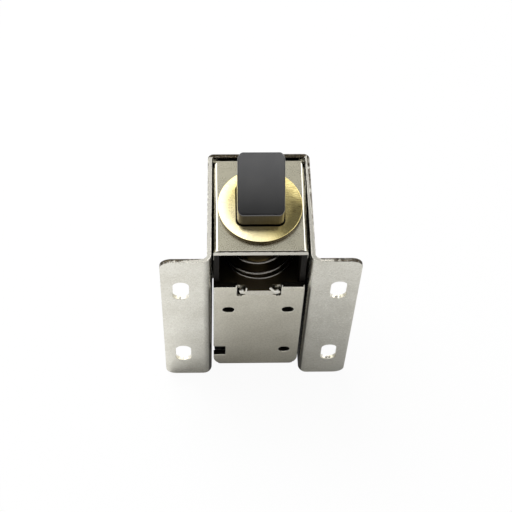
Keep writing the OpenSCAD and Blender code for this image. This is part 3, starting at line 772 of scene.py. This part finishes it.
# A small ridge of raised metal, narrower at its end, turned about the y axis. All in millimetres
def addRidge(place, size, turn, taper, edge=0.13):
    bpy.ops.object.select_all(action="DESELECT")
    bpy.ops.mesh.primitive_cube_add(size=1, location=[v * mm for v in place])
    ridge = bpy.context.object
    ridge.scale = [v * mm for v in size]
    ridge.rotation_euler = (0, math.radians(turn), 0)
    bpy.ops.object.transform_apply(location=False, rotation=False, scale=True)
    for face in ridge.data.polygons:
        face.select = face.normal.z > 0.5
    for vertex in ridge.data.vertices:
        vertex.select = vertex.co.z > 0
    bpy.ops.object.mode_set(mode="EDIT")
    bpy.ops.mesh.select_mode(type="FACE")
    bpy.ops.transform.resize(value=(taper, taper, 1))
    bpy.ops.object.mode_set(mode="OBJECT")
    modify(ridge, "BEVEL", width=edge * mm, segments=3, limit_method="ANGLE")
    bpy.ops.object.shade_smooth_by_angle(angle=smoothTurn)
    bpy.ops.object.transform_apply(location=True, rotation=True, scale=True)
    return ridge


def settleRidges(name, ridges, slot):
    pickOnly(*ridges)
    bpy.ops.object.join()
    piece = ridges[0]
    piece.name = name
    piece.data.materials.append(finishes["burr"])
    settle(piece, "housing", slot)


# The staking chisel has split a lip off each end of the tab and raised a curl beside it
def buildStakeMarks():
    marks = [
        {"place": (-2.80, -12.05, 38.00), "size": (0.55, 0.50, 2.3), "turn": 3, "taper": 0.65},
        {"place": (-3.72, -12.02, 37.60), "size": (1.20, 0.60, 1.5), "turn": -20, "taper": 0.8},
        {"place": (2.82, -12.05, 38.25), "size": (0.80, 0.50, 2.5), "turn": -40, "taper": 0.7},
        {"place": (3.75, -12.02, 37.45), "size": (1.45, 0.60, 1.7), "turn": 62, "taper": 0.8},
    ]
    settleRidges("stakeMarks", [addRidge(**mark) for mark in marks], "pole_nickel")


# Burrs that stand up at the corners of the notch and of the open leg
def buildCornerBurrs():
    burr = {"size": (0.42, 0.5, 1.5), "taper": 0.5, "along": -11.8, "level": 39.15}
    turns = {-4.92: -4, 4.92: 4, 9.55: 6}   # place across the frame, and how far the burr leans there
    ridges = [addRidge((across, burr["along"], burr["level"]), burr["size"], turn, burr["taper"])
              for across, turn in turns.items()]
    settleRidges("cornerBurrs", ridges, "frame_nickel")


# The fine thread in an open tapped hole, one ridge wound along the hole
def addThread(name, x, z):
    size = {"radius": 1.31 * mm, "ridge": 0.11 * mm, "pitch": 0.5 * mm, "turns": 2, "open": -11.86 * mm,
            "steps": 32, "smooth": math.radians(50)}
    bpy.ops.object.select_all(action="DESELECT")
    bpy.ops.mesh.primitive_circle_add(vertices=4, radius=size["ridge"], location=(x, size["open"], z))
    thread = bpy.context.object
    thread.name = name
    bpy.ops.object.mode_set(mode="EDIT")
    bpy.ops.transform.translate(value=(size["radius"], 0, 0))
    bpy.ops.object.mode_set(mode="OBJECT")
    modify(thread, "SCREW", axis="Y", angle=2 * math.pi, screw_offset=size["pitch"],
           iterations=size["turns"], steps=size["steps"], render_steps=size["steps"])
    bpy.ops.object.mode_set(mode="EDIT")
    bpy.ops.mesh.select_all(action="SELECT")
    bpy.ops.mesh.fill_holes(sides=4)
    bpy.ops.mesh.select_all(action="SELECT")
    bpy.ops.mesh.normals_make_consistent(inside=False)
    bpy.ops.object.mode_set(mode="OBJECT")
    bpy.ops.object.shade_smooth_by_angle(angle=size["smooth"])
    bpy.ops.object.transform_apply(location=True, rotation=True, scale=True)
    # painted shade: the thread takes the near-black finish of the hole
    thread.data.materials.append(finishes["shade"])
    settle(thread, "housing", "frame_nickel")


buildBracket()
buildCoilFrame()
buildNoseFrame()
buildPolePlate()
buildStakeMarks()
buildCornerBurrs()
for tap, (tapX, tapZ) in taps.items():
    addThread(tap + "Thread", tapX, tapZ)
print("sheet parts finished")


# The taped joint behind the outlet, set askew between the coil and the corner: a dark piece put there as
# painted shade, so the outlet looks black. All in millimetres
def buildOutletShadeJoint():
    size = {"axisY": -0.6, "from": 8.2, "to": 12.4, "wide": 3.0, "rear": 1.5, "front": 11.0, "edge": 0.55,
            "turn": math.radians(45)}
    out = (size["from"] + size["to"]) / 2
    middle = (-out * math.cos(size["turn"]), size["axisY"] - out * math.sin(size["turn"]),
              (size["rear"] + size["front"]) / 2)
    bpy.ops.object.select_all(action="DESELECT")
    bpy.ops.mesh.primitive_cube_add(size=1, location=[v * mm for v in middle])
    shadeJoint = bpy.context.object
    shadeJoint.name = "outletShadeJoint"
    shadeJoint.scale = [v * mm for v in (size["to"] - size["from"], size["wide"], size["front"] - size["rear"])]
    shadeJoint.rotation_euler = (0, 0, size["turn"])
    bpy.ops.object.transform_apply(location=True, rotation=True, scale=True)
    modify(shadeJoint, "BEVEL", width=size["edge"] * mm, segments=4, limit_method="ANGLE")
    bpy.ops.object.shade_smooth_by_angle(angle=smoothTurn)
    shadeJoint.data.materials.append(finishes["tape"])
    settle(shadeJoint, "housing", "coil_tape")


# Guide disc, bolt, spring and screws
def buildGuideDisc():
    size = {"edge": 0.14 * mm}
    piece = copyOfNode("guide_disc", "guideDisc")
    piece.data.materials.append(finishes["guide"])
    breakEdges(piece, size["edge"], 3)
    settle(piece, "housing", "guide_brass", "guide_disc")


def buildBolt():
    size = {"edge": 0.24 * mm, "half": 4.875 * mm, "axisY": -0.6 * mm, "low": 58.1 * mm, "slope": 8.8 / 9.75,
            "crown": 0.20 * mm, "strips": 14, "snap": 0.1 * mm, "onSlant": 0.02 * mm}
    piece = copyOfNode("bolt", "springBolt")
    shares = [2 * strip / size["strips"] - 1 for strip in range(1, size["strips"])]
    planes = [((0, size["axisY"] + size["half"] * share, 0), (0, 1, 0)) for share in shares]
    cutAlong(piece, planes, size["snap"])

    # The slanted face is slightly crowned from its low edge to its tip
    for vertex in piece.data.vertices:
        share = (vertex.co.y - size["axisY"]) / size["half"]
        slant = size["low"] + (vertex.co.y - size["axisY"] + size["half"]) * size["slope"]
        if abs(vertex.co.z - slant) < size["onSlant"]:
            vertex.co.z += size["crown"] * (1 - share * share)
    piece.data.materials.append(finishes["bolt"])
    breakEdges(piece, size["edge"], 3, 25)
    settle(piece, "bolt_carriage", "bolt_steel", "bolt")


def buildSpring():
    piece = copyOfNode("return_spring", "returnSpring")
    piece.data.materials.append(finishes["spring"])
    modify(piece, "SUBSURF", levels=1, render_levels=1)
    pickOnly(piece)
    bpy.ops.object.shade_smooth()
    settle(piece, "housing", "spring_steel", "return_spring")
    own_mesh(piece)


def buildScrew(node, name, x, z):
    size = {"edge": 0.05 * mm, "recess": 1.3 * mm, "recessLow": 12.9 * mm, "recessTop": 13.5 * mm}
    piece = copyOfNode(node, name)
    for finish in ("screw", "shade"):
        piece.data.materials.append(finishes[finish])
    # painted shade: the cross recess takes the near-black finish
    for face in piece.data.polygons:
        inRecess = math.hypot(face.center.x - x, face.center.z - z) < size["recess"]
        inRecess = inRecess and size["recessLow"] < face.center.y < size["recessTop"]
        face.material_index = 1 if inRecess else 0
    breakEdges(piece, size["edge"], 2, 30)
    settle(piece, "housing", "screw_steel", node)


def buildPlunger():
    size = {"edge": 0.08 * mm}
    piece = copyOfNode("plunger", "plungerRod")
    piece.data.materials.append(finishes["plunger"])
    breakEdges(piece, size["edge"])
    settle(piece, "bolt_carriage", "plunger_steel", "plunger")


buildOutletShadeJoint()
buildGuideDisc()
buildBolt()
buildSpring()
buildScrew("front_screw", "frontScrew", *taps["frontLeft"])
buildScrew("rear_screw", "rearScrew", *taps["rear"])
buildPlunger()

# CAD nodes that stay as they are, and the finish of each
nodeFinishes = {
    "fixed_pole": "fixedPole",
    "pole_shim": "tube",
    "guide_tube": "tube",
    "coil_bobbin": "bobbin",
    "coil_winding": "copper",
    "coil_tape": "tape",
    "start_terminal": "tin",
    "finish_terminal": "tin",
    "bolt_pin": "screw",
    "stop_washer": "washer",
}
for node, finish in nodeFinishes.items():
    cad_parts[node].data.materials.clear()
    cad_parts[node].data.materials.append(finishes[finish])
print("moving parts and coil dressed")
